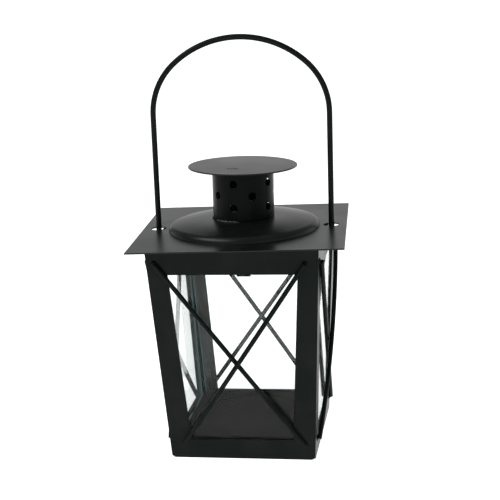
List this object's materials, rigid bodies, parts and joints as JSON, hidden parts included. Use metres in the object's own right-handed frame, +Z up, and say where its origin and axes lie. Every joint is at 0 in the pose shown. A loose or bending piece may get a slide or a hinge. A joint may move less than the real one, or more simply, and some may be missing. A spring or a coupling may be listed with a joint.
{
  "type": "candle lantern",
  "caption": "Small square tealight lantern of black sheet metal with glass sides, crossed wires, a perforated chimney with a flat cap, a lid that lifts up its wire handle.",
  "frame": {"origin": "middle of the lantern's foot, on the surface it stands on", "axes": "+Z up, -Y towards the front side, +X to the front side's right; the lid and handle are turned 3.5 degrees about +Z; the chimney leans 1.3 degrees and the handle 0.8 degrees towards +X"},
  "size_m": [0.1166, 0.1166, 0.2199],
  "materials": {
    "black_sheet": "semi-gloss black paint on thin steel sheet",
    "black_wire": "semi-gloss black paint on round steel wire",
    "black_clips": "satin black paint on bent steel strip",
    "clear_glass": "clear float glass with a faint green edge"
  },
  "bodies": {
    "body": {"base_plate": "black_sheet", "front_frame": "black_sheet", "front_glass": "clear_glass", "front_clips": "black_clips", "front_brace_lower": "black_wire", "front_brace_upper": "black_wire", "right_frame": "black_sheet", "right_glass": "clear_glass", "right_clips": "black_clips", "right_brace_lower": "black_wire", "right_brace_upper": "black_wire", "back_frame": "black_sheet", "back_glass": "clear_glass", "back_clips": "black_clips", "back_brace_lower": "black_wire", "back_brace_upper": "black_wire", "left_frame": "black_sheet", "left_glass": "clear_glass", "left_clips": "black_clips", "left_brace_lower": "black_wire", "left_brace_upper": "black_wire"},
    "lid": {"roof_plate": "black_sheet", "chimney_tube": "black_sheet", "chimney_cap": "black_sheet"},
    "handle": {"handle": "black_wire"}
  },
  "joints": [
    {"name": "lid_lift", "type": "slide", "parent": "body", "child": "lid", "axis": [0, 0, 1], "range_m": [0, 0.055]},
    {"name": "handle_tilt", "type": "hinge", "parent": "body", "child": "handle", "pos_m": [0, 0, 0.1117], "axis": [0.998, 0.061, -0.014], "range_deg": [-2.1, 2.1]}
  ]
}
